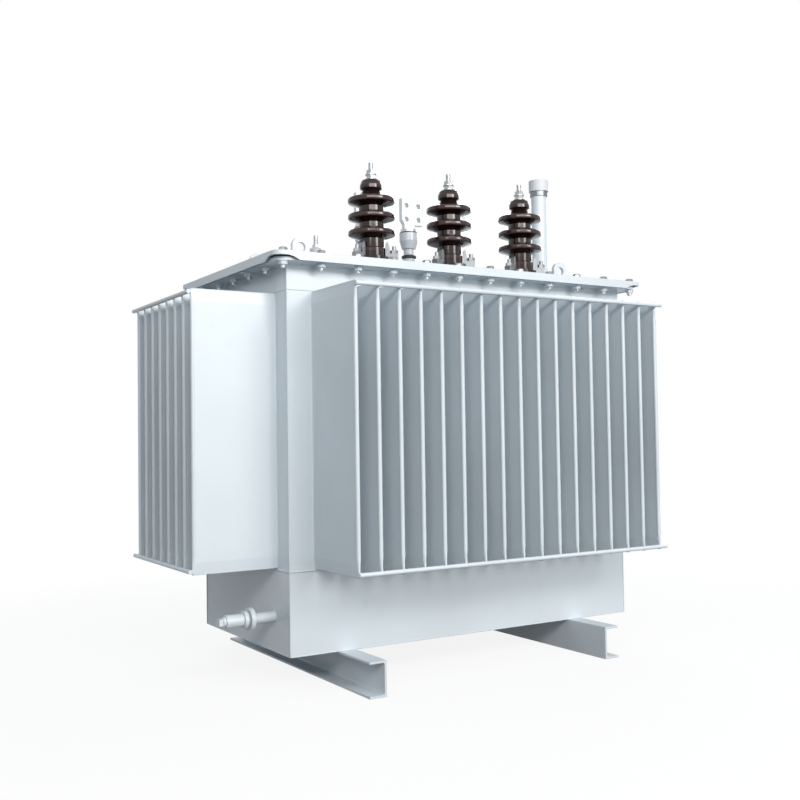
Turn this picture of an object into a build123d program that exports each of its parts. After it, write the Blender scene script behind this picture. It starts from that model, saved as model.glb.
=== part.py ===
"""Oil-filled power transformer with corrugated fin walls, as separate named pieces.

Millimetres, +Z up. The origin is on the floor under the middle of the tank. The long side
runs along X and the high-voltage bushings stand towards -Y.
"""

import os

from build123d import *

os.makedirs("parts", exist_ok=True)

# Skid channels
SKID_HEIGHT = 80.0
SKID_FLANGE = 43.0
SKID_SHEET = 5.0
SKID_LENGTH = 800.0
SKID_LEFT_INSET = 165.0  # from each end of the tank to the back of the web
SKID_RIGHT_INSET = 201.0
SKID_FILLET = 5.0

# Tank shell
TANK_L = 1010.0
TANK_W = 516.0
BAND_SHEET = 4.0
BAND_HEIGHT = 190.0
FLOOR_SHEET = 6.0
WALL_SHEET = 2.0
WALL_HEIGHT = 698.0

# Corrugated fins
FIN_PITCH = 55.0
FIN_LONG_COUNT = 17
FIN_END_COUNT = 8
FIN_DEPTH_LONG = 206.0
FIN_DEPTH_END = 204.0
FIN_THICKNESS = 8.0
FIN_HEIGHT = 630.0
FIN_CLEAR_LOW = 5.0  # from the weld seam up to the fins
FIN_SEAM = 3.0  # thickness where the two sheets are pinched and welded
FIN_TAPER = 26.0  # height over which a fin's end is pinched
FIN_NOSE = 4.0
SEAM_LENGTH = 10.0

# Bars welded across the fin tips
BAR_D = 10.0
BAR_OVERRUN = 11.0  # at one end of each bar
BAR_INSET = 6.0

# Tank flange, gasket and cover
FLANGE_REACH = 40.0
FLANGE_CORNER_R = 30.0
FLANGE_SHEET = 8.0
GASKET_SHEET = 6.0
GASKET_STRIP = 17.0  # lies inside the row of bolts
COVER_SHEET = 6.0
COVER_REACH = 50.0
COVER_CORNER_R = 24.0
RIM_SHEET = 5.0
RIM_DROP = 14.0
RIM_CORNER_DROP = 4.0  # what is left of the rim round a corner
NOTCH_SPAN = 84.0  # across the corner, at the foot of the rim
NOTCH_TOP = 44.0
BOLT_HOLE_D = 14.0
BOLT_END_INSET = 29.0  # from the short edges of the cover, and from its long edges
BOLT_SIDE_INSET = 22.0
BOLTS_LONG = 12
BOLTS_END = 7

# High-voltage bushings
HV_PITCH = 232.5
HV_SIDE_INSET = 83.0  # from the front wall of the tank to the row
HV_FOOT_D = 84.0
HV_FOOT_H = 26.0
HV_COLLAR_H = 48.0  # top of the collar over the foot
HV_TRUNK_D = 63.0
HV_SHED_D = 117.0
HV_SHED_LOW = 86.0
HV_SHED_PITCH = 40.6
HV_SHED_COUNT = 3
HV_NECK_D = 41.0
HV_CAP_D = 56.0
HV_CAP_H = 28.0
HV_HEIGHT = 220.0
HV_STUD_D = 12.0
HV_STUD_H = 43.0
HV_NUT_AF = 22.0
HV_NUT_H = 9.0
HV_WASHER_D = 28.0
HV_WASHER_H = 3.0

# Clamps that hold the bushings down
FOOT_LEDGE = 8.0  # width of the ledge on each bushing's foot
RING_H = 12.0
RING_REACH = 23.0  # the clamp ring stands this far out from the foot
RING_CLEAR = 0.3
HOOK_COUNT = 3
HOOK_TURN = 80.0  # direction of the first hook
HOOK_W = 18.0
HOOK_LIP = 7.0
HOOK_RISE = 37.0  # over the ledge
HOOK_NECK = 4.5  # from the foot out to the shelf that carries the nut
SHELF_RISE = 8.0
CLAMP_STUD_D = 10.0
CLAMP_STUD_OVER = 18.0
CLAMP_NUT_AF = 17.0
CLAMP_NUT_H = 8.0

# Low-voltage bushings
LV_PITCH = 150.0
LV_SIDE_INSET = 128.0  # from the back wall of the tank to the row
LV_ROW_SHIFT = 8.0  # the row stands off the middle, towards the neutral
LV_FOOT_D = 74.0
LV_FOOT_H = 24.0
LV_TRUNK_D = 36.0
LV_TRUNK_H = 95.0
LV_COLLAR_D = 42.0
LV_COLLAR_H = 10.0
LV_NECK_D = 30.0
LV_NECK_H = 18.0
LV_BELL_LOW_D = 40.0
LV_BELL_D = 53.0
LV_BELL_FLARE = 24.0
LV_BELL_LIP = 2.0
LV_HEIGHT = 172.0
LV_NUT_D = 46.0
LV_NUT_H = 8.0
PALM_W = 70.0
PALM_H = 76.0
PALM_SHIFT = 9.5
PALM_CHAMFER = 13.0
PALM_SHEET = 16.0
PALM_STEM_W = 34.0
PALM_STEM_H = 13.0
PALM_HOLE_D = 14.0
PALM_HOLE_PITCH = 40.0
PALM_HOLE_DROP = 20.0
NEUTRAL_FOOT_D = 60.0
NEUTRAL_COLLAR_H = 28.0
NEUTRAL_TRUNK_D = 34.0
NEUTRAL_SHED_D = 50.0
NEUTRAL_HEIGHT = 102.0
NEUTRAL_SHED_LOW = 67.0
NEUTRAL_SHED_SPAN = 36.0
NEUTRAL_STUD_D = 12.0
NEUTRAL_STUD_H = 34.0
NEUTRAL_NUT_AF = 19.0
NEUTRAL_NUT_H = 8.0

# Lifting lugs
LUG_END_INSET = 97.5  # from the end walls and the long walls of the tank
LUG_SIDE_INSET = 128.0
LUG_W = 45.0
LUG_H = 70.5
LUG_SHEET = 10.0
LUG_HOLE_D = 25.0
LUG_HOLE_H = 45.0

# Oil filler
FILLER_END_INSET = 59.0
FILLER_Y = 0.0
FILLER_D = 45.5
FILLER_BORE_D = 40.0
FILLER_H = 290.5
FILLER_BASE_D = 84.0
FILLER_BASE_H = 8.0
CAP_D = 58.0
CAP_H = 32.0
CAP_COLLAR_D = 52.0
CAP_COLLAR_H = 14.5

# Drain valve
DRAIN_SIDE_INSET = 85.0
DRAIN_HEIGHT = 80.5  # over the tank floor
DRAIN_PIPE_D = 25.0
DRAIN_PIPE_L = 56.0
DRAIN_FLANGE_D = 53.0
DRAIN_FLANGE_L = 10.0
DRAIN_BODY_D = 30.0
DRAIN_BODY_L = 55.0
DRAIN_COLLAR_D = 41.0
DRAIN_COLLAR_L = 9.0
DRAIN_NECK_L = 4.0
DRAIN_PLUG_D = 23.0
DRAIN_PLUG_L = 6.0
DRAIN_KEY_AF = 16.0
DRAIN_KEY_L = 10.0

# Levels and faces that follow from the sizes above
TANK_FLOOR_Z = SKID_HEIGHT
SEAM_Z = TANK_FLOOR_Z + BAND_HEIGHT
WALL_TOP_Z = SEAM_Z + WALL_HEIGHT
FIN_LOW_Z = SEAM_Z + FIN_CLEAR_LOW
FIN_TOP_Z = FIN_LOW_Z + FIN_HEIGHT
FLANGE_TOP_Z = WALL_TOP_Z + FLANGE_SHEET
GASKET_TOP_Z = FLANGE_TOP_Z + GASKET_SHEET
COVER_TOP_Z = GASKET_TOP_Z + COVER_SHEET
HV_Y = HV_SIDE_INSET - TANK_W / 2
LV_Y = TANK_W / 2 - LV_SIDE_INSET
LUG_X = TANK_L / 2 - LUG_END_INSET
LUG_Y = TANK_W / 2 - LUG_SIDE_INSET
FILLER_X = TANK_L / 2 - FILLER_END_INSET
DRAIN_Y = DRAIN_SIDE_INSET - TANK_W / 2
DRAIN_Z = TANK_FLOOR_Z + DRAIN_HEIGHT
FLANGE_L = TANK_L + 2 * FLANGE_REACH
FLANGE_W = TANK_W + 2 * FLANGE_REACH
COVER_L = TANK_L + 2 * COVER_REACH
COVER_W = TANK_W + 2 * COVER_REACH
BOLT_SPAN_X = COVER_L - 2 * BOLT_END_INSET
BOLT_SPAN_Y = COVER_W - 2 * BOLT_SIDE_INSET


def pinched_pocket(depth, half, seam_half, low, high):
    """Flat pocket reaching from y = 0 to -Y, its sheets pinched together at top and bottom."""
    with BuildPart() as body:
        with BuildSketch(Plane.XZ):
            with BuildLine():
                Polyline(
                    (seam_half, low), (half, low + FIN_TAPER), (half, high - FIN_TAPER), (seam_half, high),
                    (-seam_half, high), (-half, high - FIN_TAPER), (-half, low + FIN_TAPER), (-seam_half, low),
                    close=True,
                )
            make_face()
        extrude(amount=depth)
    return body.part


def finned_wall(length, count, depth):
    """Corrugated wall with its outer face on y = 0 and hollow fins reaching to -Y."""
    half = FIN_THICKNESS / 2
    seam = FIN_SEAM / 2
    inner_half = half - WALL_SHEET
    with BuildPart() as fin:
        add(pinched_pocket(depth, half, seam, FIN_LOW_Z, FIN_TOP_Z))
        with BuildSketch(Plane.XY.offset(FIN_LOW_Z)):
            with BuildLine():
                Polyline((half, 0), (half, FIN_NOSE - depth), (seam, -depth), (-seam, -depth),
                         (-half, FIN_NOSE - depth), (-half, 0), close=True)
            make_face()
        extrude(amount=FIN_HEIGHT, mode=Mode.INTERSECT)
    pocket = pinched_pocket(depth - FIN_NOSE - WALL_SHEET, inner_half, inner_half / 4,
                            FIN_LOW_Z + SEAM_LENGTH, FIN_TOP_Z - SEAM_LENGTH)
    with BuildPart() as wall:
        with Locations((0, WALL_SHEET / 2, SEAM_Z + WALL_HEIGHT / 2)):
            Box(length, WALL_SHEET, WALL_HEIGHT)
        with GridLocations(FIN_PITCH, 1, count, 1):
            add(fin.part)
        with Locations((0, WALL_SHEET, 0)):
            with GridLocations(FIN_PITCH, 1, count, 1):
                add(pocket, mode=Mode.SUBTRACT)
    return wall.part


def tip_bars(count, depth, side):
    """Two round bars welded across the fin tips, standing over the last fin on one side."""
    run = (count - 1) * FIN_PITCH + FIN_THICKNESS + BAR_OVERRUN
    middle = side * BAR_OVERRUN / 2
    with BuildPart() as bars:
        with Locations(
            Location((middle, -depth - BAR_D / 2, FIN_LOW_Z + BAR_INSET), (0, 90, 0)),
            Location((middle, -depth - BAR_D / 2, FIN_TOP_Z - BAR_INSET), (0, 90, 0)),
        ):
            Cylinder(BAR_D / 2, run)
    return bars.part


def porcelain(foot_d, foot_h, collar_h, trunk_d, shed_d, shed_low, shed_pitch, shed_count, top_d, cap_d, cap_h,
              height):
    """Turned insulator standing on z = 0: foot with a ledge, collar, trunk, rounded sheds and a cap."""
    foot, trunk, shed, top, cap = foot_d / 2, trunk_d / 2, shed_d / 2, top_d / 2, cap_d / 2
    collar = foot - FOOT_LEDGE
    points = [(0, 0), (foot, 0), (foot, foot_h), (collar, foot_h), (collar, collar_h),
              (trunk, collar_h + collar - trunk)]
    for number in range(shed_count):
        level = shed_low + number * shed_pitch
        root = shed_pitch * 0.36
        points += [(trunk, level - root), (shed, level - 5.5), (shed, level + 5.5), (trunk, level + root)]
    points += [(top, height - cap_h), (cap, height - cap_h * 0.79), (cap, height - cap_h * 0.5),
               (cap * 0.86, height - cap_h * 0.11), (cap * 0.72, height), (0, height)]
    with BuildPart() as body:
        with BuildSketch(Plane.XZ) as outline:
            with BuildLine():
                Polyline(points, close=True)
            make_face()
            tips = outline.vertices().filter_by(lambda v: abs(v.X - shed) < 0.1)
            fillet(tips, 5)
        revolve(axis=Axis.Z)
    return body.part


# Skids: channels on edge, the webs facing each other and the flanges pointing outwards
def skid_channel(side, inset):
    back = side * (TANK_L / 2 - inset)
    with BuildPart() as body:
        with BuildSketch(Plane.XZ.offset(-SKID_LENGTH / 2)) as outline:
            with Locations((back + side * SKID_FLANGE / 2, SKID_HEIGHT / 2)):
                Rectangle(SKID_FLANGE, SKID_HEIGHT)
            with Locations((back + side * (SKID_SHEET + SKID_FLANGE / 2), SKID_HEIGHT / 2)):
                Rectangle(SKID_FLANGE, SKID_HEIGHT - 2 * SKID_SHEET, mode=Mode.SUBTRACT)
            roots = outline.vertices().filter_by(lambda v: abs(v.X - back - side * SKID_SHEET) < 0.01)
            fillet(roots, SKID_FILLET)
        extrude(amount=SKID_LENGTH)
    return body


skid_left = skid_channel(-1, SKID_LEFT_INSET)
skid_right = skid_channel(1, SKID_RIGHT_INSET)

# Tank floor, let in between the band plates
with BuildPart() as tank_floor:
    with Locations((0, 0, TANK_FLOOR_Z)):
        Box(TANK_L - 2 * BAND_SHEET, TANK_W - 2 * BAND_SHEET, FLOOR_SHEET,
            align=(Align.CENTER, Align.CENTER, Align.MIN))


# Plain lower band: long plates at front and back, end plates between them
def band_plate(x, y, length, width):
    with BuildPart() as body:
        with Locations((x, y, TANK_FLOOR_Z)):
            Box(length, width, BAND_HEIGHT, align=(Align.CENTER, Align.CENTER, Align.MIN))
    return body


band_front = band_plate(0, -(TANK_W - BAND_SHEET) / 2, TANK_L, BAND_SHEET)
band_back = band_plate(0, (TANK_W - BAND_SHEET) / 2, TANK_L, BAND_SHEET)
band_left = band_plate(-(TANK_L - BAND_SHEET) / 2, 0, BAND_SHEET, TANK_W - 2 * BAND_SHEET)
band_right = band_plate((TANK_L - BAND_SHEET) / 2, 0, BAND_SHEET, TANK_W - 2 * BAND_SHEET)

# Corrugated walls and their tip bars, turned to the four sides
long_wall = finned_wall(TANK_L, FIN_LONG_COUNT, FIN_DEPTH_LONG)
end_wall = finned_wall(TANK_W - 2 * WALL_SHEET, FIN_END_COUNT, FIN_DEPTH_END)
long_bars = tip_bars(FIN_LONG_COUNT, FIN_DEPTH_LONG, 1)
left_bars = tip_bars(FIN_END_COUNT, FIN_DEPTH_END, -1)
right_bars = tip_bars(FIN_END_COUNT, FIN_DEPTH_END, 1)

FRONT = Location((0, -TANK_W / 2, 0), (0, 0, 0))
BACK = Location((0, TANK_W / 2, 0), (0, 0, 180))
LEFT = Location((-TANK_L / 2, 0, 0), (0, 0, -90))
RIGHT = Location((TANK_L / 2, 0, 0), (0, 0, 90))


def placed(shape, place):
    with BuildPart() as body:
        with Locations(place):
            add(shape)
    return body


finned_wall_front = placed(long_wall, FRONT)
finned_wall_back = placed(long_wall, BACK)
finned_wall_left = placed(end_wall, LEFT)
finned_wall_right = placed(end_wall, RIGHT)
fin_bars_front = placed(long_bars, FRONT)
fin_bars_back = placed(long_bars, BACK)
fin_bars_left = placed(left_bars, LEFT)
fin_bars_right = placed(right_bars, RIGHT)


def bolt_sites():
    """Places of the cover bolts: two long rows, and the short rows between them."""
    long_step = BOLT_SPAN_X / (BOLTS_LONG - 1)
    end_step = BOLT_SPAN_Y / (BOLTS_END - 1)
    sites = [(-BOLT_SPAN_X / 2 + i * long_step, side * BOLT_SPAN_Y / 2)
             for side in (-1, 1) for i in range(BOLTS_LONG)]
    sites += [(side * BOLT_SPAN_X / 2, -BOLT_SPAN_Y / 2 + i * end_step)
              for side in (-1, 1) for i in range(1, BOLTS_END - 1)]
    return sites


# Tank flange and gasket: flat frames on top of the walls
MOUTH_L = TANK_L - 2 * WALL_SHEET
MOUTH_W = TANK_W - 2 * WALL_SHEET
with BuildPart() as tank_flange:
    with BuildSketch(Plane.XY.offset(WALL_TOP_Z)):
        RectangleRounded(FLANGE_L, FLANGE_W, FLANGE_CORNER_R)
        Rectangle(MOUTH_L, MOUTH_W, mode=Mode.SUBTRACT)
        with Locations(*bolt_sites()):
            Circle(BOLT_HOLE_D / 2, mode=Mode.SUBTRACT)
    extrude(amount=FLANGE_SHEET)
with BuildPart() as cover_gasket:
    with BuildSketch(Plane.XY.offset(FLANGE_TOP_Z)):
        Rectangle(MOUTH_L + 2 * GASKET_STRIP, MOUTH_W + 2 * GASKET_STRIP)
        Rectangle(MOUTH_L, MOUTH_W, mode=Mode.SUBTRACT)
    extrude(amount=GASKET_SHEET)

# Cover: a plate with a turned-down rim, cut away to a narrow lip round the corners
NOTCH_RISE = RIM_DROP - RIM_CORNER_DROP
NOTCH_MIDDLE = NOTCH_TOP + 0.55 * (NOTCH_SPAN - NOTCH_TOP)
with BuildPart() as cover:
    with BuildSketch(Plane.XY.offset(GASKET_TOP_Z)):
        RectangleRounded(COVER_L, COVER_W, COVER_CORNER_R)
        with Locations(*bolt_sites()):
            Circle(BOLT_HOLE_D / 2, mode=Mode.SUBTRACT)
    extrude(amount=COVER_SHEET)
    with BuildSketch(Plane.XY.offset(GASKET_TOP_Z)):
        RectangleRounded(COVER_L, COVER_W, COVER_CORNER_R)
        RectangleRounded(COVER_L - 2 * RIM_SHEET, COVER_W - 2 * RIM_SHEET, COVER_CORNER_R - RIM_SHEET,
                         mode=Mode.SUBTRACT)
    extrude(amount=-RIM_DROP)
    for x in (-1, 1):
        for y in (-1, 1):
            lip = (x * COVER_L / 2, y * COVER_W / 2, GASKET_TOP_Z - RIM_CORNER_DROP)
            with BuildSketch(Plane(origin=lip, x_dir=(-y, x, 0), z_dir=(x, y, 0))):
                with BuildLine():
                    Polyline((-NOTCH_TOP / 2, 0), (NOTCH_TOP / 2, 0), (NOTCH_MIDDLE / 2, -NOTCH_RISE * 0.35),
                             (NOTCH_SPAN / 2, -NOTCH_RISE), (NOTCH_SPAN / 2, -RIM_DROP),
                             (-NOTCH_SPAN / 2, -RIM_DROP), (-NOTCH_SPAN / 2, -NOTCH_RISE),
                             (-NOTCH_MIDDLE / 2, -NOTCH_RISE * 0.35), close=True)
                make_face()
            extrude(amount=NOTCH_SPAN, both=True, mode=Mode.SUBTRACT)

# High-voltage bushings
hv_body = porcelain(HV_FOOT_D, HV_FOOT_H, HV_COLLAR_H, HV_TRUNK_D, HV_SHED_D, HV_SHED_LOW, HV_SHED_PITCH,
                    HV_SHED_COUNT, HV_NECK_D, HV_CAP_D, HV_CAP_H, HV_HEIGHT)

with BuildPart() as hv_stud:
    Cylinder(HV_STUD_D / 2, HV_STUD_H, align=(Align.CENTER, Align.CENTER, Align.MIN))
    Cylinder(HV_WASHER_D / 2, HV_WASHER_H, align=(Align.CENTER, Align.CENTER, Align.MIN))
    with BuildSketch(Plane.XY.offset(HV_WASHER_H)):
        RegularPolygon(HV_NUT_AF / 2, 6, major_radius=False)
    extrude(amount=HV_NUT_H)
    with Locations((0, 0, HV_WASHER_H + HV_NUT_H)):
        Cylinder(HV_WASHER_D / 2, HV_WASHER_H, align=(Align.CENTER, Align.CENTER, Align.MIN))
    with BuildSketch(Plane.XY.offset(2 * HV_WASHER_H + HV_NUT_H)):
        RegularPolygon(HV_NUT_AF / 2, 6, major_radius=False)
    extrude(amount=HV_NUT_H)


def clamp_ring(foot_d, foot_h):
    """Ring round a bushing's foot with hooks that press on its ledge, each held by a stud and nut."""
    inner = foot_d / 2 + RING_CLEAR
    outer = foot_d / 2 + RING_REACH
    neck = foot_d / 2 + HOOK_NECK
    tip = foot_d / 2 - HOOK_LIP
    stud_r = (neck + outer) / 2
    shelf, crest = foot_h + SHELF_RISE, foot_h + HOOK_RISE
    with BuildPart() as hook:
        with BuildSketch(Plane.XZ):
            with BuildLine():
                Polyline((inner, RING_H), (inner, foot_h), (tip, foot_h), (tip, crest - 6), (tip + 5, crest),
                         (neck - 3, crest - 5), (neck, shelf), (outer, shelf), (outer, RING_H), close=True)
            make_face()
        extrude(amount=HOOK_W / 2, both=True)
        with Locations((stud_r, 0, shelf)):
            Cylinder(CLAMP_STUD_D / 2, CLAMP_STUD_OVER, align=(Align.CENTER, Align.CENTER, Align.MIN))
        with BuildSketch(Plane.XY.offset(shelf)):
            with Locations((stud_r, 0)):
                RegularPolygon(CLAMP_NUT_AF / 2, 6, major_radius=False)
        extrude(amount=CLAMP_NUT_H)
    with BuildPart() as body:
        with BuildSketch():
            Circle(outer)
            Circle(inner, mode=Mode.SUBTRACT)
        extrude(amount=RING_H)
        with PolarLocations(0, HOOK_COUNT, start_angle=HOOK_TURN):
            add(hook.part)
    return body.part


hv_ring = clamp_ring(HV_FOOT_D, HV_FOOT_H)
hv_porcelain_a = placed(hv_body, Location((-HV_PITCH, HV_Y, COVER_TOP_Z)))
hv_porcelain_b = placed(hv_body, Location((0, HV_Y, COVER_TOP_Z)))
hv_porcelain_c = placed(hv_body, Location((HV_PITCH, HV_Y, COVER_TOP_Z)))
hv_terminal_a = placed(hv_stud.part, Location((-HV_PITCH, HV_Y, COVER_TOP_Z + HV_HEIGHT)))
hv_terminal_b = placed(hv_stud.part, Location((0, HV_Y, COVER_TOP_Z + HV_HEIGHT)))
hv_terminal_c = placed(hv_stud.part, Location((HV_PITCH, HV_Y, COVER_TOP_Z + HV_HEIGHT)))
with BuildPart() as hv_clamp_rings:
    with Locations((-HV_PITCH, HV_Y, COVER_TOP_Z), (0, HV_Y, COVER_TOP_Z), (HV_PITCH, HV_Y, COVER_TOP_Z)):
        add(hv_ring)

# Low-voltage bushings with flag terminals, and the smaller neutral
lv_ledge_r = LV_FOOT_D / 2 - FOOT_LEDGE
lv_neck_low = LV_TRUNK_H + LV_COLLAR_H
lv_bell_low = lv_neck_low + LV_NECK_H
with BuildPart() as lv_body:
    with BuildSketch(Plane.XZ):
        with BuildLine():
            Polyline(
                (0, 0), (LV_FOOT_D / 2, 0), (LV_FOOT_D / 2, LV_FOOT_H), (lv_ledge_r, LV_FOOT_H),
                (LV_TRUNK_D / 2, LV_FOOT_H + lv_ledge_r - LV_TRUNK_D / 2), (LV_TRUNK_D / 2, LV_TRUNK_H),
                (LV_COLLAR_D / 2, LV_TRUNK_H + LV_BELL_LIP), (LV_COLLAR_D / 2, lv_neck_low - LV_BELL_LIP),
                (LV_NECK_D / 2, lv_neck_low), (LV_NECK_D / 2, lv_bell_low), (LV_BELL_LOW_D / 2, lv_bell_low),
                (LV_BELL_D / 2, lv_bell_low + LV_BELL_FLARE), (LV_BELL_D / 2, LV_HEIGHT - LV_BELL_LIP),
                (LV_BELL_D / 2 - LV_BELL_LIP, LV_HEIGHT), (0, LV_HEIGHT), close=True,
            )
        make_face()
    revolve(axis=Axis.Z)
neutral_body = porcelain(NEUTRAL_FOOT_D, LV_FOOT_H, NEUTRAL_COLLAR_H, NEUTRAL_TRUNK_D, NEUTRAL_SHED_D,
                         NEUTRAL_SHED_LOW, NEUTRAL_SHED_SPAN, 1, NEUTRAL_TRUNK_D, NEUTRAL_TRUNK_D, 10.0,
                         NEUTRAL_HEIGHT)

palm_left = PALM_SHIFT - PALM_W / 2
palm_low = LV_NUT_H + PALM_STEM_H
palm_top = palm_low + PALM_H
with BuildPart() as flag_terminal:
    Cylinder(LV_NUT_D / 2, LV_NUT_H, align=(Align.CENTER, Align.CENTER, Align.MIN))
    with BuildSketch(Plane.XZ.offset(-PALM_SHEET / 2)):
        with BuildLine():
            Polyline((-PALM_STEM_W / 2, LV_NUT_H), (PALM_STEM_W / 2, LV_NUT_H), (PALM_STEM_W / 2, palm_low),
                     (palm_left + PALM_W, palm_low), (palm_left + PALM_W, palm_top), (palm_left, palm_top),
                     (palm_left, palm_low + PALM_CHAMFER), (-PALM_STEM_W / 2, palm_low), close=True)
        make_face()
        with Locations((PALM_SHIFT, palm_top - PALM_HOLE_DROP - PALM_HOLE_PITCH / 2)):
            with GridLocations(PALM_HOLE_PITCH, PALM_HOLE_PITCH, 2, 2):
                Circle(PALM_HOLE_D / 2, mode=Mode.SUBTRACT)
    extrude(amount=PALM_SHEET)

with BuildPart() as neutral_terminal:
    Cylinder(NEUTRAL_STUD_D / 2, NEUTRAL_STUD_H, align=(Align.CENTER, Align.CENTER, Align.MIN))
    with BuildSketch():
        RegularPolygon(NEUTRAL_NUT_AF / 2, 6, major_radius=False)
    extrude(amount=NEUTRAL_NUT_H)

NEUTRAL_X = -1.5 * LV_PITCH - LV_ROW_SHIFT
LV_FIRST_X = NEUTRAL_X + LV_PITCH
lv_porcelain_n = placed(neutral_body, Location((NEUTRAL_X, LV_Y, COVER_TOP_Z)))
lv_porcelain_a = placed(lv_body.part, Location((LV_FIRST_X, LV_Y, COVER_TOP_Z)))
lv_porcelain_b = placed(lv_body.part, Location((LV_FIRST_X + LV_PITCH, LV_Y, COVER_TOP_Z)))
lv_porcelain_c = placed(lv_body.part, Location((LV_FIRST_X + 2 * LV_PITCH, LV_Y, COVER_TOP_Z)))
lv_terminal_n = placed(neutral_terminal.part, Location((NEUTRAL_X, LV_Y, COVER_TOP_Z + NEUTRAL_HEIGHT)))
lv_terminal_a = placed(flag_terminal.part, Location((LV_FIRST_X, LV_Y, COVER_TOP_Z + LV_HEIGHT)))
lv_terminal_b = placed(flag_terminal.part, Location((LV_FIRST_X + LV_PITCH, LV_Y, COVER_TOP_Z + LV_HEIGHT)))
lv_terminal_c = placed(flag_terminal.part, Location((LV_FIRST_X + 2 * LV_PITCH, LV_Y, COVER_TOP_Z + LV_HEIGHT)))


lv_ring = clamp_ring(LV_FOOT_D, LV_FOOT_H)
neutral_ring = clamp_ring(NEUTRAL_FOOT_D, LV_FOOT_H)
with BuildPart() as lv_clamp_rings:
    with Locations((NEUTRAL_X, LV_Y, COVER_TOP_Z)):
        add(neutral_ring)
    with Locations(*[(LV_FIRST_X + number * LV_PITCH, LV_Y, COVER_TOP_Z) for number in range(3)]):
        add(lv_ring)


# Lifting lugs: flat plates with a round top and a hole
def lifting_lug(x, y):
    with BuildPart() as body:
        with BuildSketch(Plane.XZ.offset(-LUG_SHEET / 2 - y)):
            with Locations((x, COVER_TOP_Z)):
                Rectangle(LUG_W, LUG_H - LUG_W / 2, align=(Align.CENTER, Align.MIN))
            with Locations((x, COVER_TOP_Z + LUG_H - LUG_W / 2)):
                Circle(LUG_W / 2)
            with Locations((x, COVER_TOP_Z + LUG_HOLE_H)):
                Circle(LUG_HOLE_D / 2, mode=Mode.SUBTRACT)
        extrude(amount=LUG_SHEET)
    return body


lifting_lug_front_left = lifting_lug(-LUG_X, -LUG_Y)
lifting_lug_front_right = lifting_lug(LUG_X, -LUG_Y)
lifting_lug_back_left = lifting_lug(-LUG_X, LUG_Y)
lifting_lug_back_right = lifting_lug(LUG_X, LUG_Y)

# Oil filler: a tube on a round base, and a cap over its mouth
with BuildPart() as oil_filler_tube:
    with Locations((FILLER_X, FILLER_Y, COVER_TOP_Z)):
        Cylinder(FILLER_BASE_D / 2, FILLER_BASE_H, align=(Align.CENTER, Align.CENTER, Align.MIN))
        Cylinder(FILLER_D / 2, FILLER_H, align=(Align.CENTER, Align.CENTER, Align.MIN))
    with Locations((FILLER_X, FILLER_Y, COVER_TOP_Z)):
        Cylinder(FILLER_BORE_D / 2, FILLER_H, align=(Align.CENTER, Align.CENTER, Align.MIN), mode=Mode.SUBTRACT)

with BuildPart() as oil_filler_cap:
    with Locations((FILLER_X, FILLER_Y, COVER_TOP_Z + FILLER_H)):
        Cylinder(CAP_COLLAR_D / 2, CAP_COLLAR_H, align=(Align.CENTER, Align.CENTER, Align.MIN))
    with Locations((FILLER_X, FILLER_Y, COVER_TOP_Z + FILLER_H + CAP_COLLAR_H)):
        Cylinder(CAP_D / 2, CAP_H, align=(Align.CENTER, Align.CENTER, Align.MIN))

# Drain valve on the left end of the band
DRAIN_FACE_X = -TANK_L / 2


def round_along_x(sections):
    """Round sections in a row, each (diameter, start, length), reaching out of the left end."""
    with BuildPart() as body:
        for diameter, start, length in sections:
            with Locations(Location((DRAIN_FACE_X - start, DRAIN_Y, DRAIN_Z), (0, -90, 0))):
                Cylinder(diameter / 2, length, align=(Align.CENTER, Align.CENTER, Align.MIN))
    return body


DRAIN_BODY_START = DRAIN_PIPE_L + DRAIN_FLANGE_L
DRAIN_PLUG_START = DRAIN_BODY_START + DRAIN_BODY_L
drain_pipe = round_along_x([(DRAIN_PIPE_D, 0, DRAIN_PIPE_L)])
drain_flange = round_along_x([(DRAIN_FLANGE_D, DRAIN_PIPE_L, DRAIN_FLANGE_L)])
drain_body = round_along_x([
    (DRAIN_BODY_D, DRAIN_BODY_START, DRAIN_BODY_L),
    (DRAIN_COLLAR_D, DRAIN_BODY_START + DRAIN_NECK_L, DRAIN_COLLAR_L),
])
with BuildPart() as drain_cap:
    with Locations(Location((DRAIN_FACE_X - DRAIN_PLUG_START, DRAIN_Y, DRAIN_Z), (0, -90, 0))):
        Cylinder(DRAIN_PLUG_D / 2, DRAIN_PLUG_L, align=(Align.CENTER, Align.CENTER, Align.MIN))
    with BuildSketch(Plane.YZ.offset(DRAIN_FACE_X - DRAIN_PLUG_START - DRAIN_PLUG_L)):
        with Locations((DRAIN_Y, DRAIN_Z)):
            Rectangle(DRAIN_KEY_AF, DRAIN_KEY_AF)
    extrude(amount=-DRAIN_KEY_L)

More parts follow.
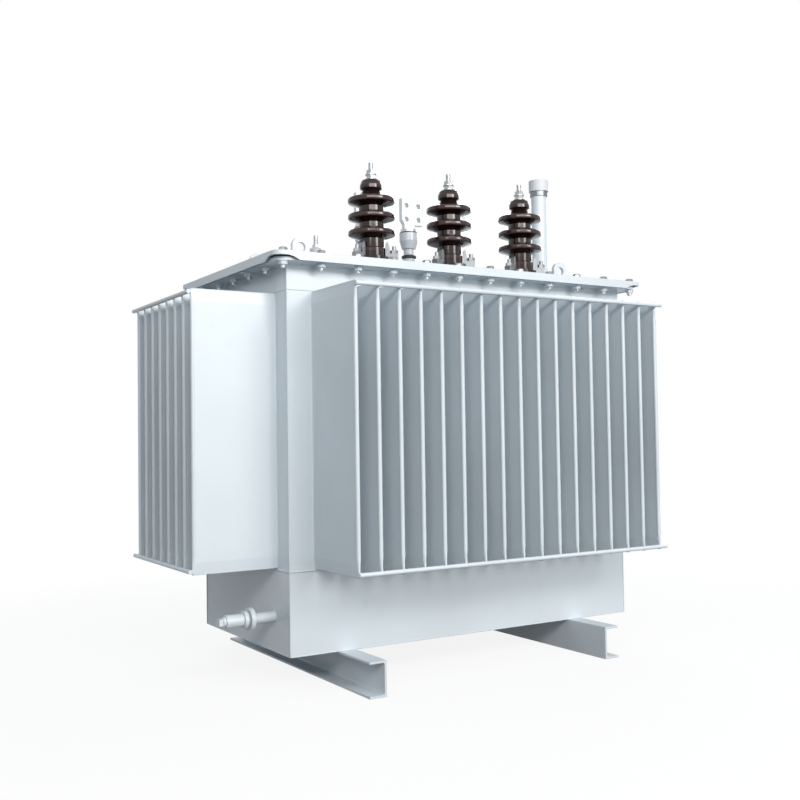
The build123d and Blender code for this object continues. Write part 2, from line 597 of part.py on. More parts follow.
pieces = {
    "skid_left": skid_left,
    "skid_right": skid_right,
    "tank_floor": tank_floor,
    "band_front": band_front,
    "band_back": band_back,
    "band_left": band_left,
    "band_right": band_right,
    "finned_wall_front": finned_wall_front,
    "finned_wall_back": finned_wall_back,
    "finned_wall_left": finned_wall_left,
    "finned_wall_right": finned_wall_right,
    "fin_bars_front": fin_bars_front,
    "fin_bars_back": fin_bars_back,
    "fin_bars_left": fin_bars_left,
    "fin_bars_right": fin_bars_right,
    "tank_flange": tank_flange,
    "cover_gasket": cover_gasket,
    "cover": cover,
    "hv_porcelain_a": hv_porcelain_a,
    "hv_porcelain_b": hv_porcelain_b,
    "hv_porcelain_c": hv_porcelain_c,
    "hv_terminal_a": hv_terminal_a,
    "hv_terminal_b": hv_terminal_b,
    "hv_terminal_c": hv_terminal_c,
    "hv_clamp_rings": hv_clamp_rings,
    "lv_porcelain_n": lv_porcelain_n,
    "lv_porcelain_a": lv_porcelain_a,
    "lv_porcelain_b": lv_porcelain_b,
    "lv_porcelain_c": lv_porcelain_c,
    "lv_terminal_n": lv_terminal_n,
    "lv_terminal_a": lv_terminal_a,
    "lv_terminal_b": lv_terminal_b,
    "lv_terminal_c": lv_terminal_c,
    "lv_clamp_rings": lv_clamp_rings,
    "lifting_lug_front_left": lifting_lug_front_left,
    "lifting_lug_front_right": lifting_lug_front_right,
    "lifting_lug_back_left": lifting_lug_back_left,
    "lifting_lug_back_right": lifting_lug_back_right,
    "oil_filler_tube": oil_filler_tube,
    "oil_filler_cap": oil_filler_cap,
    "drain_pipe": drain_pipe,
    "drain_flange": drain_flange,
    "drain_body": drain_body,
    "drain_cap": drain_cap,
}

for name, piece in pieces.items():
    piece.part.label = name
    export_step(piece.part, f"parts/{name}.step")
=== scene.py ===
import math
import random

import bmesh
import bpy
from mathutils import Matrix, Vector


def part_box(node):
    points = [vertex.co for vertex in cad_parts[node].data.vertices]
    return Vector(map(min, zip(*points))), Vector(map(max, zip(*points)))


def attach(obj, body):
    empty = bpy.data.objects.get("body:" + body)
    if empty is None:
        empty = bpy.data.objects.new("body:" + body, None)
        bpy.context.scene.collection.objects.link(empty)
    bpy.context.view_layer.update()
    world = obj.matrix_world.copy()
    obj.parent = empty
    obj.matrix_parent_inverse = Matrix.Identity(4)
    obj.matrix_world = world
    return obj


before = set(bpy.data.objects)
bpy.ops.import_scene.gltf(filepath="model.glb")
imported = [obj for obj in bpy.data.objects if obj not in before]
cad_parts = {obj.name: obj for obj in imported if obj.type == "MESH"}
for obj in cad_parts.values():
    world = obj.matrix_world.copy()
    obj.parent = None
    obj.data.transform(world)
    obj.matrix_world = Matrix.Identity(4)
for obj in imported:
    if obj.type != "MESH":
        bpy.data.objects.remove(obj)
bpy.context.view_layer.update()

random.seed(7)

# Faces and levels read from the frame, in metres
X, Y, Z = 0, 1, 2
TANK_X, TANK_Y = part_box("band_right")[1][X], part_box("band_back")[1][Y]
TANK_FLOOR_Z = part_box("tank_floor")[0][Z]
SEAM_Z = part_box("band_front")[1][Z]
COVER_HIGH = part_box("cover")[1]
COVER_TOP_Z = COVER_HIGH[Z]
FLANGE_LOW_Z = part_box("tank_flange")[0][Z]

# Cover bolts, in metres
BOLT_END_INSET = 0.029
BOLT_SIDE_INSET = 0.022
BOLTS_LONG = 12
BOLTS_END = 7
BOLT_AF = 0.018
BOLT_HEAD_H = 0.0075
BOLT_D = 0.012
WASHER_D = 0.022
WASHER_H = 0.002
NUT_H = 0.008
BOLT_END = 0.007  # how far the bolt stands out of its nut

# Threads
THREAD_PITCH = 0.00175
THREAD_DEPTH = 0.30  # of the pitch
THREAD_RUN_OUT = 0.001  # bare length at the end of a bolt or stud
BOLT_ROOT_R = BOLT_D / 2 - 0.0007
BOLT_THREAD_R = BOLT_D / 2 - 0.0006
STUD_THREAD_R = 0.0058
HV_THREAD_START = 0.0245  # over the terminal's foot
NEUTRAL_THREAD_START = 0.008

# Fins
FIN_PITCH = 0.055
FIN_LONG_COUNT = 17
FIN_END_COUNT = 8
FIN_THICKNESS = 0.008
FIN_HEIGHT = 0.630
FIN_CLEAR_LOW = 0.005
FIN_LOW_Z = SEAM_Z + FIN_CLEAR_LOW
FIN_TOP_Z = FIN_LOW_Z + FIN_HEIGHT
FOLD_R = 0.004
FOLD_CLEAR = 0.028  # from a fin's end to where its folds start
FOLD_STEPS = 5
FOLD_LIFT = 0.0001  # off the wall, so that the two faces never coincide
NOSE_HALF = 0.0052  # the sheet swells a little where it is folded over at a fin's tip
NOSE_DEEP = 0.0046
NOSE_START = 0.018  # from a fin's end
NOSE_FULL = 0.040
BAR_INSET = 0.006  # from a fin's end to the middle of the bar on its tip
TACK_OUT = 0.001  # how far a tack's middle stands in front of the tip
TACK_ASIDE = 0.0026
TACK_HALF = 0.0045  # half its length

# Weld beads, by radius
RIPPLE_BOLD = 0.3  # depth of the scallops, as a share of the radius
RIPPLE_FINE = 0.12
SEAM_BEAD_R = 0.0022
UPPER_SEAM_Z = 0.9085
UPPER_SEAM_BEAD_R = 0.0014
FLANGE_BEAD_R = 0.003
FOOT_BEAD_R = 0.0016
CORNER_BEAD_R = 0.0018
FIN_BEAD_R = 0.0019
TACK_BEAD_R = 0.0022
LUG_BEAD_R = 0.003
SKID_BEAD_R = 0.0025
SKID_BEAD_SHORT = 0.004  # how far its ends stay inside the tank's sides

# Heights at which a finish changes
HV_SHED_Z = 1.0740  # middle of the lowest shed
HV_SHED_PITCH = 0.0406
LV_COLLAR_RING = (1.0825, 1.0935)
LV_CAP_RING = (1.1565, 1.1700)
FILLER_COLLAR_Z = 1.2930

# Floor, in metres
FLOOR_REACH = 30.0
FLOOR_DROP = 0.0005
SHADOW_FADE = (0.9, 2.2)  # the floor's shadow fades out between these distances from the middle
SHADOW_VEIL = 0.88  # share of plain white in the floor that the camera sees near the object


# Socket maths: sums and products on a Field add their own nodes to its tree
class Field:
    def __init__(self, nodes, socket):
        self.nodes = nodes
        self.socket = socket

    def maths(self, operation, *values):
        return self.nodes.add("Math", {"operation": operation}, dict(enumerate(values)))

    def __add__(self, other):
        return self.maths("ADD", self, other)

    def __radd__(self, other):
        return self.maths("ADD", other, self)

    def __sub__(self, other):
        return self.maths("SUBTRACT", self, other)

    def __rsub__(self, other):
        return self.maths("SUBTRACT", other, self)

    def __mul__(self, other):
        return self.maths("MULTIPLY", self, other)

    def __rmul__(self, other):
        return self.maths("MULTIPLY", other, self)

    def cosine(self):
        return self.maths("COSINE", self)

    def or_else(self, other):
        return self.maths("MAXIMUM", self, other)


class Nodes:
    """A shader tree that is built node by node."""

    def __init__(self, tree):
        self.tree = tree
        tree.nodes.clear()

    def feed(self, socket, value):
        if isinstance(value, Field):
            self.tree.links.new(value.socket, socket)
        elif hasattr(value, "__len__") and len(socket.default_value) == 4 and len(value) == 3:
            socket.default_value = (*value, 1.0)
        else:
            socket.default_value = value

    def node(self, kind, settings=None, sockets=None):
        """Any node: its settings first, then the values or links of its sockets."""
        node = self.tree.nodes.new("ShaderNode" + kind)
        for name, value in (settings or {}).items():
            setattr(node, name, value)
        for name, value in (sockets or {}).items():
            self.feed(node.inputs[name], value)
        return node

    def add(self, kind, settings=None, sockets=None, output=0):
        return Field(self, self.node(kind, settings, sockets).outputs[output])

    def step(self, value, low, high):
        """0 below low, 1 above high, smooth between."""
        return self.add("MapRange", {"interpolation_type": "SMOOTHSTEP"},
                        {"Value": value, "From Min": low, "From Max": high})

    def band(self, value, low, high, soft):
        """1 between low and high, 0 outside."""
        return self.step(value, low - soft, low + soft) * (1 - self.step(value, high - soft, high + soft))

    def mix(self, first, second, factor):
        return self.add("Mix", {"data_type": "RGBA"}, {0: factor, 6: first, 7: second}, output=2)

    def white_rays(self):
        """1 for the rays that see the white background: from the camera, mirrored and through glass."""
        seen = self.add("LightPath", output="Is Camera Ray")
        for ray in ("Is Glossy Ray", "Is Transmission Ray"):
            seen = seen.or_else(self.add("LightPath", output=ray))
        return seen


class Finish(Nodes):
    """A material around one surface shader, with plain values on its own sockets."""

    def __init__(self, name, **constants):
        self.material = bpy.data.materials.new(name)
        self.material.use_nodes = True
        super().__init__(self.material.node_tree)
        self.surface = self.add("BsdfPrincipled")
        self.output = self.node("OutputMaterial", {}, {"Surface": self.surface})
        for socket, value in constants.items():
            self.set(socket.replace("_", " "), value)
        self.place = self.add("TexCoord", output="Object")

    def set(self, socket, value):
        self.feed(self.surface.socket.node.inputs[socket], value)

    def axis(self, which):
        return self.add("SeparateXYZ", {}, {0: self.place}, output=which)

    def noise(self, scale, detail=2.0, roughness=0.5, stretch=None):
        """Cloud noise, about this many lumps to the metre, pulled out along an axis by a small stretch."""
        spot = self.place
        if stretch:
            spot = self.add("Mapping", {}, {"Vector": self.place, "Scale": stretch})
        sockets = {"Vector": spot, "Scale": scale, "Detail": detail, "Roughness": roughness}
        return self.add("TexNoise", {}, sockets)

    def soft_edge(self, radius):
        return self.add("Bevel", {"samples": 4}, {"Radius": radius})

    def edge_mask(self, rounded):
        """Near 1 on corners and edges, 0 on flat faces."""
        flat = self.add("NewGeometry", output="Normal")
        likeness = self.add("VectorMath", {"operation": "DOT_PRODUCT"}, {0: rounded, 1: flat}, output="Value")
        return self.step(1 - likeness, 0.01, 0.12)

    def bump(self, height, distance, strength=1.0, normal=None):
        sockets = {"Height": height, "Distance": distance, "Strength": strength}
        if normal is not None:
            sockets["Normal"] = normal
        return self.add("Bump", {}, sockets)


def shade(colour, factor):
    return tuple(channel * factor for channel in colour)


# Finishes
PAINT_BLUE_GREY = (0.640, 0.706, 0.752)


def sprayed_paint(name, colour, roughness=0.36, waviness=0.006):
    """Satin paint over sheet steel: orange peel, faint clouds, a slow ripple and thin paint on the edges."""
    f = Finish(name, IOR=1.48, Coat_Roughness=0.22)
    clouds = f.noise(3.1, 2.0)
    mottle = f.noise(26.0, 3.0, 0.6)
    specks = f.noise(900.0, 1.0)
    rounded = f.soft_edge(0.0016)
    edges = f.edge_mask(rounded) * f.step(f.noise(60.0, 3.0), 0.42, 0.66)
    tone = f.mix(shade(colour, 0.955), shade(colour, 1.03), f.step(clouds, 0.3, 0.7))
    bluer = (colour[0] * 0.93, colour[1] * 0.96, colour[2])
    tone = f.mix(tone, bluer, f.step(mottle, 0.52, 0.8) * 0.35)
    tone = f.mix(tone, shade(colour, 0.86), f.step(specks, 0.70, 0.78) * 0.25)
    f.set("Base Color", f.mix(tone, shade(colour, 1.12), edges * 0.5))
    f.set("Roughness", roughness + 0.10 * (mottle - 0.5) + 0.10 * (clouds - 0.5))
    f.set("Coat Weight", 0.10 + 0.10 * (clouds - 0.5))
    ripple = f.bump(f.noise(4.2, 1.0, 0.4, stretch=(1, 1, 0.45)), waviness, 0.5, rounded)
    f.set("Normal", f.bump(f.noise(420.0, 1.0), 0.00025, 0.22, ripple))
    return f.material


def brown_glaze():
    """Dark brown glossy glaze, thinner and redder on the rims of the sheds, almost black at their roots."""
    f = Finish("brown_glaze", IOR=1.5, Specular_IOR_Level=0.45)
    streaks = f.noise(16.0, 3.0, 0.6, stretch=(1, 1, 0.35))
    grain = f.noise(260.0, 2.0)
    wave = ((f.axis(Z) - HV_SHED_Z) * (2 * math.pi / HV_SHED_PITCH)).cosine()
    rim = f.step(wave, 0.45, 0.98)
    body = f.mix((0.008, 0.0035, 0.003), (0.020, 0.008, 0.0065), streaks)
    body = f.mix(body, (0.060, 0.028, 0.022), rim * (0.30 + 0.45 * streaks))
    f.set("Base Color", f.mix(body, (0.012, 0.008, 0.007), f.step(grain, 0.66, 0.76) * 0.3))
    f.set("Roughness", 0.06 + 0.07 * streaks)
    f.set("Normal", f.bump(f.noise(34.0, 2.0), 0.0010, 0.14, f.bump(grain, 0.00012, 0.15)))
    return f.material


def pale_glaze(name, rings=()):
    """Pale grey glossy glaze with faint crazing, and dark rough rings between the given heights."""
    f = Finish(name, IOR=1.5)
    clouds = f.noise(30.0, 3.0)
    crazing = f.add("TexVoronoi", {"feature": "DISTANCE_TO_EDGE"}, {"Vector": f.place, "Scale": 120.0})
    height = f.axis(Z)
    tone = f.mix((0.50, 0.54, 0.58), (0.60, 0.64, 0.68), f.step(clouds, 0.35, 0.7))
    tone = f.mix((0.42, 0.45, 0.48), tone, f.step(crazing, 0.0, 0.05))
    roughness = 0.16 + 0.10 * clouds
    for low, high in rings:
        # Between the given heights the glaze turns near black and rough
        dark_ring = f.band(height, low, high, 0.0004)
        tone = f.mix(tone, (0.030, 0.032, 0.030), dark_ring)
        roughness = roughness + 0.45 * dark_ring
    f.set("Base Color", tone)
    f.set("Roughness", roughness)
    f.set("Normal", f.bump(f.noise(70.0, 2.0), 0.0008, 0.16))
    return f.material


def bare_metal(name, colour, roughness, grain=700.0, dull=0.5, waviness=0.2):
    """Plated or cast metal with fine grain, faint dull patches and bright edges."""
    f = Finish(name, IOR=1.5)
    rounded = f.soft_edge(0.0009)
    patches = f.noise(75.0, 3.0, 0.6)
    fine = f.noise(grain, 2.0)
    edges = f.edge_mask(rounded)
    tone = f.mix(shade(colour, 1 - 0.30 * dull), colour, f.step(patches, 0.30, 0.62))
    f.set("Base Color", f.mix(tone, shade(colour, 1.15), edges * 0.6))
    f.set("Metallic", 1 - 0.30 * dull * f.step(patches, 0.6, 0.8))
    f.set("Roughness", roughness + 0.25 * dull * (patches - 0.5) + 0.08 * (fine - 0.5))
    f.set("Normal", f.bump(fine, 0.0003, waviness, rounded))
    return f.material


def filler_cap():
    """White moulded cap over a turned steel collar."""
    f = Finish("filler_cap", IOR=1.48)
    rounded = f.soft_edge(0.0012)
    clouds = f.noise(40.0, 2.0)
    turning = f.noise(260.0, 1.0, 0.5, stretch=(0.05, 0.05, 8.0))
    steel = 1 - f.step(f.axis(Z), FILLER_COLLAR_Z - 0.0002, FILLER_COLLAR_Z + 0.0002)
    plastic = f.mix((0.66, 0.68, 0.72), (0.72, 0.74, 0.78), clouds)
    f.set("Base Color", f.mix(plastic, f.mix((0.16, 0.18, 0.20), (0.24, 0.26, 0.28), turning), steel))
    f.set("Metallic", steel)
    f.set("Roughness", 0.42 - 0.10 * steel + 0.08 * clouds)
    f.set("Normal", f.bump(turning * steel, 0.0002, 0.4, rounded))
    return f.material


def gasket_cork():
    """Dark rubber-bonded cork with its grain showing."""
    f = Finish("gasket_rubber", IOR=1.45)
    grains = f.add("TexVoronoi", {}, {"Vector": f.place, "Scale": 420.0}, output="Color")
    grey = f.add("RGBToBW", {}, {0: grains})
    tone = f.mix((0.018, 0.017, 0.016), (0.060, 0.050, 0.042), f.step(grey, 0.35, 0.8))
    f.set("Base Color", tone)
    f.set("Roughness", 0.78 + 0.15 * (grey - 0.5))
    f.set("Normal", f.bump(grey, 0.0004, 0.5))
    return f.material


PAINT_TANK = sprayed_paint("paint_tank", PAINT_BLUE_GREY)
PAINT_COVER = sprayed_paint("paint_cover", shade(PAINT_BLUE_GREY, 1.02), 0.33, 0.004)
PAINT_SKID = sprayed_paint("paint_skid", shade(PAINT_BLUE_GREY, 0.97), 0.42, 0.003)
GASKET = gasket_cork()
BROWN = brown_glaze()
PALE = pale_glaze("white_glaze", [LV_COLLAR_RING, LV_CAP_RING])
PALE_NEUTRAL = pale_glaze("white_glaze_neutral")
TINNED = bare_metal("tinned_brass", (0.50, 0.53, 0.55), 0.40, dull=0.15, waviness=0.12)
CAST = bare_metal("cast_clamp", (0.30, 0.32, 0.34), 0.48, 340.0, 0.6, 0.5)
ZINC = bare_metal("zinc_plate", (0.40, 0.43, 0.45), 0.34)
BOLT_STEEL = bare_metal("bolt_steel", (0.30, 0.315, 0.33), 0.38)
BOLT_TIP = bare_metal("bolt_tip", (0.80, 0.82, 0.83), 0.30)
CAP = filler_cap()

NODE_FINISHES = {
    "skid_": PAINT_SKID,
    "cover": PAINT_COVER,
    "cover_gasket": GASKET,
    "hv_porcelain": BROWN,
    "hv_terminal": ZINC,
    "hv_clamp": CAST,
    "lv_porcelain": PALE,
    "lv_porcelain_n": PALE_NEUTRAL,
    "lv_terminal": TINNED,
    "lv_clamp": CAST,
    "lifting_lug": PAINT_COVER,
    "oil_filler_tube": PAINT_COVER,
    "oil_filler_cap": CAP,
}


def finish_of(name):
    fitting = [start for start in NODE_FINISHES if name.startswith(start)]
    return NODE_FINISHES[max(fitting, key=len)] if fitting else PAINT_TANK


for node_name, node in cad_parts.items():
    for material_slot in node.material_slots:
        material_slot.material = finish_of(node_name)


# Mesh building
def around(count):
    """Angles of this many even steps round a circle."""
    return [2 * math.pi * i / count for i in range(count)]


class Shape:
    """A mesh in the making: many small solids that become one piece."""

    def __init__(self):
        self.mesh = bmesh.new()

    def rings(self, rings, closed_ends=True, wrap=True):
        """Skins a row of rings of points, each ring with as many points as the next."""
        rows = [[self.mesh.verts.new(point) for point in ring] for ring in rings]
        count = len(rows[0])
        for lower, upper in zip(rows, rows[1:]):
            for i in range(count if wrap else count - 1):
                j = (i + 1) % count
                self.mesh.faces.new((lower[i], lower[j], upper[j], upper[i]))
        if closed_ends:
            self.mesh.faces.new(rows[0][::-1])
            self.mesh.faces.new(rows[-1])
        return self

    def turned(self, profile, place, segments=24):
        """Revolves (radius, height) points about the place's own Z axis."""
        return self.rings([[place @ Vector((radius * math.cos(a), radius * math.sin(a), height))
                            for a in around(segments)] for radius, height in profile])

    def hexagon(self, flats, low, high, place, chamfer=0.0012):
        """Nut or bolt head: its corners cut back by a cone at the top end."""
        half, corner = flats / 2, flats / math.sqrt(3)
        foot, shoulder, crown = [], [], []
        for angle in around(24):
            reach = half / math.cos(angle % (math.pi / 3) - math.pi / 6)
            drop = (reach - half) / (corner - half) * chamfer * 0.9
            for ring, out, level in ((foot, reach, low), (shoulder, reach, high - chamfer - drop),
                                     (crown, half * 0.95, high)):
                ring.append(place @ Vector((out * math.cos(angle), out * math.sin(angle), level)))
        return self.rings([foot, shoulder, crown])

    def thread(self, radius, low, high, place, segments):
        """Helical ridge standing a little over a plain stud."""
        pitch = THREAD_PITCH
        depth = pitch * THREAD_DEPTH
        steps = int((high - low) / pitch * segments)
        crest, root = [], []
        for k in range(steps + segments + 1):
            angle = 2 * math.pi * k / segments
            height = low + pitch * (k / segments - 1)
            for row, reach, lift in ((crest, radius + depth, 0.0), (root, radius, pitch / 2)):
                level = min(max(height + lift, low), high)
                row.append(self.mesh.verts.new(
                    place @ Vector((reach * math.cos(angle), reach * math.sin(angle), level))))
        for k in range(steps + segments):
            self.mesh.faces.new((crest[k], crest[k + 1], root[k + 1], root[k]))
            if k + segments + 1 <= steps + segments:
                self.mesh.faces.new((root[k], root[k + 1], crest[k + segments + 1], crest[k + segments]))
        return self

    def bead(self, start, end, radius, ripple=0.25, step=0.004, sides=8):
        """Weld bead from start to end: a round run with the scallops that a torch leaves."""
        start, end = Vector(start), Vector(end)
        run = end - start
        count = max(int(run.length / step) * 2, 4)
        along = run.normalized()
        side = along.orthogonal().normalized()
        over = along.cross(side)
        rings = []
        for k in range(count + 1):
            swell = 1 + ripple * (0.5 if k % 2 else -0.5) + random.uniform(-0.06, 0.06)
            if k in (0, count):
                swell = 0.45
            centre = start + run * (k / count)
            rings.append([centre + (side * math.cos(a) + over * math.sin(a)) * radius * swell
                          for a in around(sides)])
        return self.rings(rings)

    def piece(self, name, material, slot, sharp=35.0):
        bmesh.ops.recalc_face_normals(self.mesh, faces=self.mesh.faces)
        data = bpy.data.meshes.new(name)
        self.mesh.to_mesh(data)
        self.mesh.free()
        data.shade_smooth()
        data.set_sharp_from_angle(angle=math.radians(sharp))
        data.materials.append(material)
        piece = bpy.data.objects.new(name, data)
        bpy.context.collection.objects.link(piece)
        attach(piece, "root")
        return piece


def at(x, y, z, down=False, turn=0.0):
    """A place whose Z axis points up, or down where a nut hangs under a plate."""
    place = Matrix.Translation((x, y, z)) @ Matrix.Rotation(turn, 4, "Z")
    return place @ Matrix.Rotation(math.pi, 4, "X") if down else place


def bolt_sites():
    x, y = COVER_HIGH[X] - BOLT_END_INSET, COVER_HIGH[Y] - BOLT_SIDE_INSET
    long_steps = [-x + 2 * x * i / (BOLTS_LONG - 1) for i in range(BOLTS_LONG)]
    end_steps = [-y + 2 * y * i / (BOLTS_END - 1) for i in range(1, BOLTS_END - 1)]
    sites = [(step, side * y) for side in (-1, 1) for step in long_steps]
    return sites + [(side * x, step) for side in (-1, 1) for step in end_steps]


# Cover bolts: heads on the cover, nuts under the flange and the ends of the bolts below them
def cover_bolts():
    heads, nuts, ends = Shape(), Shape(), Shape()
    washer = [(BOLT_D / 2, 0), (WASHER_D / 2, 0), (WASHER_D / 2, WASHER_H), (BOLT_D / 2, WASHER_H)]
    nut_end = WASHER_H + NUT_H
    end = nut_end + BOLT_END
    tip = [(BOLT_ROOT_R, nut_end - 0.002), (BOLT_ROOT_R, end - 0.0012), (BOLT_D / 2 - 0.002, end),
           (0.0003, end + 0.0004)]
    for x, y in bolt_sites():
        turn = random.uniform(0, math.pi / 3)
        top = at(x, y, COVER_TOP_Z, turn=turn)
        heads.turned(washer, top)
        heads.hexagon(BOLT_AF, WASHER_H, WASHER_H + BOLT_HEAD_H, top)
        under = at(x, y, FLANGE_LOW_Z, down=True, turn=turn + 0.4)
        nuts.turned(washer, under)
        nuts.hexagon(BOLT_AF, WASHER_H, nut_end, under)
        ends.turned(tip, under, 12)
        ends.thread(BOLT_THREAD_R, nut_end, end - THREAD_RUN_OUT, under, 12)
    heads.piece("cover_bolt_heads", BOLT_STEEL, "tinned_brass")
    nuts.piece("cover_bolt_nuts", PAINT_COVER, "paint_cover")
    ends.piece("cover_bolt_ends", BOLT_TIP, "tinned_brass")


# Seams of the tank: over the band, high on the walls, under the flange, round its foot and up its corners
def tank_seams():
    seams = Shape()
    x, y = TANK_X, TANK_Y

    def round_run(level, radius, out, **options):
        corners = [(-x - out, -y - out), (x + out, -y - out), (x + out, y + out), (-x - out, y + out)]
        for (x0, y0), (x1, y1) in zip(corners, corners[1:] + corners[:1]):
            seams.bead((x0, y0, level), (x1, y1, level), radius, **options)

    round_run(SEAM_Z, SEAM_BEAD_R, 0.0)
    round_run(UPPER_SEAM_Z, UPPER_SEAM_BEAD_R, 0.0, ripple=0.4, step=0.008)
    round_run(FLANGE_LOW_Z - 0.0005, FLANGE_BEAD_R, 0.0006)
    round_run(TANK_FLOOR_Z + 0.0006, FOOT_BEAD_R, -0.0006)
    upper, lower = (SEAM_Z, FLANGE_LOW_Z, CORNER_BEAD_R), (TANK_FLOOR_Z, SEAM_Z, FOOT_BEAD_R)
    for sx in (-1, 1):
        for sy in (-1, 1):
            for low, high, radius in (upper, lower):
                seams.bead((sx * x, sy * y, low), (sx * x, sy * y, high), radius, RIPPLE_FINE)
    seams.piece("tank_seams", PAINT_TANK, "paint_tank")


def fin_sides():
    """Each finned side: name, a place whose -Y axis points out of the tank, count of fins and their depth."""
    x, y = TANK_X, TANK_Y
    long_depth = -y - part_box("finned_wall_front")[0][Y]
    end_depth = -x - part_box("finned_wall_left")[0][X]
    for name, spot, turn, count, depth in (
        ("front", (0, -y, 0), 0, FIN_LONG_COUNT, long_depth),
        ("back", (0, y, 0), math.pi, FIN_LONG_COUNT, long_depth),
        ("left", (-x, 0, 0), -math.pi / 2, FIN_END_COUNT, end_depth),
        ("right", (x, 0, 0), math.pi / 2, FIN_END_COUNT, end_depth),
    ):
        yield name, Matrix.Translation(spot) @ Matrix.Rotation(turn, 4, "Z"), count, depth


def fin_nose(noses, place, x, depth):
    """Rounded nose over a fin's tip, pinched in towards the fin's two ends."""
    pinched = FIN_THICKNESS / 4
    levels = ((FIN_LOW_Z + NOSE_START, pinched), (FIN_LOW_Z + NOSE_FULL, NOSE_HALF),
              (FIN_TOP_Z - NOSE_FULL, NOSE_HALF), (FIN_TOP_Z - NOSE_START, pinched))
    noses.rings([[place @ Vector((x + half * math.cos(a), NOSE_DEEP * (1 + math.sin(a)) - depth, z))
                  for a in around(20)] for z, half in levels])


def bar_tacks(tacks, place, x, depth, level):
    """Two short tacks where a bar crosses a fin's tip, one on each side of the tip."""
    bar = place @ Vector((x, -depth - TACK_OUT, level))
    rise = Vector((0, 0, TACK_HALF))
    for side in (-1, 1):
        spot = bar + place.to_3x3() @ Vector((side * TACK_ASIDE, 0, 0))
        tacks.bead(spot - rise, spot + rise, TACK_BEAD_R, RIPPLE_BOLD, step=0.003, sides=6)


def fin_folds(folds, place, x):
    """Rounded roots on both sides of a fin, where the sheet turns out of the wall."""
    for side in (-1, 1):
        root = x + side * FIN_THICKNESS / 2
        arc = [(root + side * FOLD_R * (1 - math.sin(a)), -FOLD_R * (1 - math.cos(a)))
               for a in (math.pi / 2 * i / FOLD_STEPS for i in range(FOLD_STEPS + 1))]
        ends = (FIN_LOW_Z + FOLD_CLEAR, FIN_TOP_Z - FOLD_CLEAR)
        folds.rings([[place @ Vector((u, v - FOLD_LIFT, z)) for u, v in arc] for z in ends],
                    closed_ends=False, wrap=False)


# Fins: closing welds along both ends, tacks between tips and bars, folds at the roots and noses on the tips
def fin_details():
    for name, place, count, depth in fin_sides():
        ends, tacks, folds, noses = Shape(), Shape(), Shape(), Shape()
        for number in range(count):
            x = (number - (count - 1) / 2) * FIN_PITCH
            for level, inwards in ((FIN_LOW_Z, BAR_INSET), (FIN_TOP_Z, -BAR_INSET)):
                foot, tip = Vector((x, 0, level)), Vector((x, -depth, level))
                ends.bead(place @ foot, place @ tip, FIN_BEAD_R, RIPPLE_BOLD, sides=6)
                bar_tacks(tacks, place, x, depth, level + inwards)
            fin_folds(folds, place, x)
            fin_nose(noses, place, x, depth)
        for kind, shape in (("fin_end_welds_", ends), ("bar_tacks_", tacks), ("fin_folds_", folds),
                            ("fin_noses_", noses)):
            shape.piece(kind + name, PAINT_TANK, "paint_tank")


# Terminals: threads on the studs
def stud_threads():
    threads = Shape()
    studs = [("hv_terminal_" + letter, HV_THREAD_START, 24) for letter in "abc"]
    studs.append(("lv_terminal_n", NEUTRAL_THREAD_START, 20))
    for terminal, start, segments in studs:
        low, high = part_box(terminal)
        place = at((low[X] + high[X]) / 2, (low[Y] + high[Y]) / 2, 0)
        threads.thread(STUD_THREAD_R, low[Z] + start, high[Z] - THREAD_RUN_OUT, place, segments)
    threads.piece("stud_threads", ZINC, "tinned_brass")


# Welds round the lifting lugs and along the skids
def fitting_welds():
    welds = Shape()
    for name in ("front_left", "front_right", "back_left", "back_right"):
        low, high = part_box("lifting_lug_" + name)
        corners = [(low[X], low[Y]), (high[X], low[Y]), (high[X], high[Y]), (low[X], high[Y])]
        level = low[Z] + 0.001
        for (x0, y0), (x1, y1) in zip(corners, corners[1:] + corners[:1]):
            welds.bead((x0, y0, level), (x1, y1, level), LUG_BEAD_R, RIPPLE_BOLD)
    run = TANK_Y - SKID_BEAD_SHORT
    for name in ("skid_left", "skid_right"):
        low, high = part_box(name)
        for x in (low[X], high[X]):
            welds.bead((x, -run, TANK_FLOOR_Z), (x, run, TANK_FLOOR_Z), SKID_BEAD_R, RIPPLE_BOLD)
    welds.piece("fitting_welds", PAINT_COVER, "paint_cover")


cover_bolts()
tank_seams()
fin_details()
stud_threads()
fitting_welds()

# Floor and background
floor_mesh = bpy.data.meshes.new("floor")
floor_corners = [(sx * FLOOR_REACH, sy * FLOOR_REACH, -FLOOR_DROP)
                 for sx, sy in ((-1, -1), (1, -1), (1, 1), (-1, 1))]
floor_mesh.from_pydata(floor_corners, [], [(0, 1, 2, 3)])
floor = bpy.data.objects.new("floor", floor_mesh)
bpy.context.collection.objects.link(floor)


def floor_finish():
    """Paper that is white from where the camera stands off, with the object's soft shadow on it."""
    f = Finish("floor_paper", Roughness=0.9, IOR=1.2)
    grain = f.noise(600.0, 2.0)
    seen = f.white_rays()
    matt = f.mix((0.085, 0.09, 0.095), (0.105, 0.11, 0.115), grain)
    f.set("Base Color", f.mix(matt, (0.92, 0.93, 0.94), seen))
    f.set("Normal", f.bump(grain, 0.0002, 0.2))
    distance = f.add("VectorMath", {"operation": "LENGTH"}, {0: f.place}, output="Value")
    veil = SHADOW_VEIL + (1 - SHADOW_VEIL) * f.step(distance, *SHADOW_FADE)
    glow = f.add("Emission", {}, {"Color": (1, 1, 1), "Strength": 1.0})
    f.feed(f.output.inputs["Surface"], f.add("MixShader", {}, {0: seen * veil, 1: f.surface, 2: glow}))
    return f.material


floor_mesh.materials.append(floor_finish())

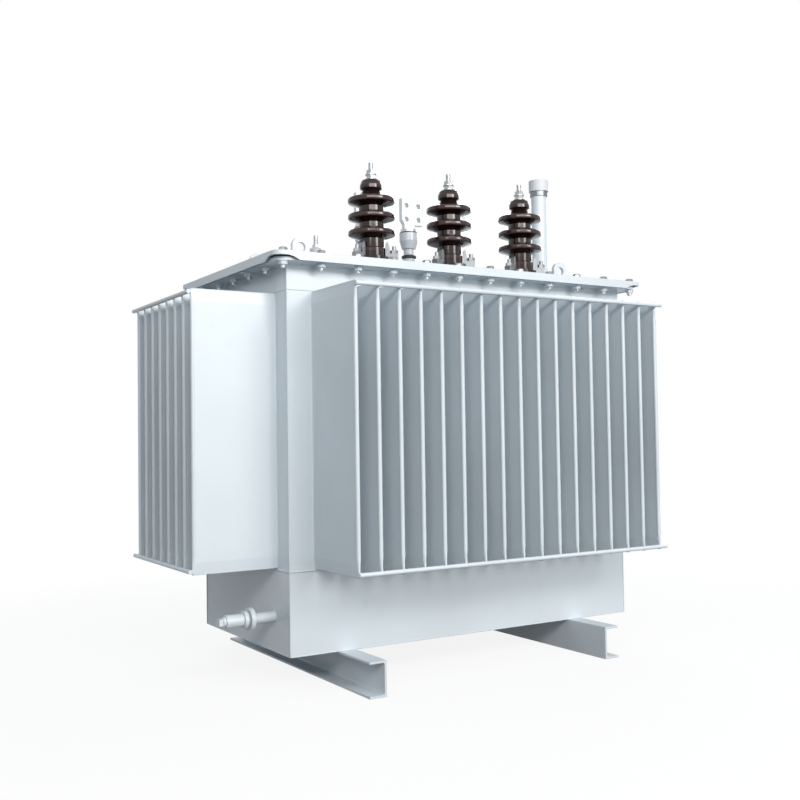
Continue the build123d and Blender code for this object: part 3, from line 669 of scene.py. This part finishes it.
# Studio: an even blue-grey ambience behind a white background
world = bpy.data.worlds.new("studio")
bpy.context.scene.world = world
world.use_nodes = True
studio = Nodes(world.node_tree)
ambience = studio.add("Background", {}, {"Color": (0.88, 0.99, 1.09), "Strength": 0.38})
white = studio.add("Background", {}, {"Color": (1, 1, 1), "Strength": 1.0})
backdrop = studio.add("MixShader", {}, {0: studio.white_rays(), 1: ambience, 2: white})
studio.node("OutputWorld", {}, {"Surface": backdrop})


# Lamps: a long softbox before the front wall, a small one to glint in the porcelain, a low one, one behind
def softbox(name, place, target, size, watts, colour):
    lamp = bpy.data.lights.new(name, "AREA")
    lamp.shape = "RECTANGLE"
    lamp.size, lamp.size_y = size
    lamp.energy = watts
    lamp.color = colour
    lamp_object = bpy.data.objects.new(name, lamp)
    lamp_object.location = place
    lamp_object.rotation_euler = (Vector(target) - Vector(place)).to_track_quat("-Z", "Y").to_euler()
    lamp_object.visible_camera = False
    bpy.context.collection.objects.link(lamp_object)


softbox("key", (-0.90, -4.10, 2.50), (0.0, 0.0, 0.60), (6.5, 1.1), 172.0, (1.04, 1.0, 0.96))
softbox("glint", (0.90, -4.10, 2.10), (0.0, 0.0, 1.00), (1.3, 0.9), 28.0, (1.03, 1.0, 0.97))
softbox("front_fill", (0.3, -4.60, 0.75), (0.0, 0.0, 0.50), (4.0, 0.8), 35.0, (1.02, 1.0, 0.97))
softbox("back_fill", (3.4, 3.2, 2.8), (0.0, 0.0, 0.60), (3.0, 2.0), 110.0, (1.0, 1.0, 1.0))

# Camera solved from the photograph
AZIMUTH, PITCH, ROLL = math.radians(31.53), math.radians(2.03), math.radians(-0.85)
CAMERA_PLACE = (-1.4821, -2.3342, 0.5726)
LENS_MM = 45.55
SENSOR_MM = 36.0
forward = Vector((math.sin(AZIMUTH) * math.cos(PITCH), math.cos(AZIMUTH) * math.cos(PITCH), math.sin(PITCH)))
right = Vector((math.cos(AZIMUTH), -math.sin(AZIMUTH), 0.0))
up = right.cross(forward)
rolled_right = right * math.cos(ROLL) + up * math.sin(ROLL)
rolled_up = up * math.cos(ROLL) - right * math.sin(ROLL)
camera_data = bpy.data.cameras.new("camera")
camera_data.lens = LENS_MM
camera_data.sensor_width = SENSOR_MM
camera_data.clip_end = 100.0
camera = bpy.data.objects.new("camera", camera_data)
bpy.context.collection.objects.link(camera)
camera.matrix_world = Matrix.Translation(CAMERA_PLACE) @ Matrix(
    (rolled_right, rolled_up, -forward)).transposed().to_4x4()
bpy.context.scene.camera = camera
bpy.context.scene.view_settings.view_transform = "Standard"
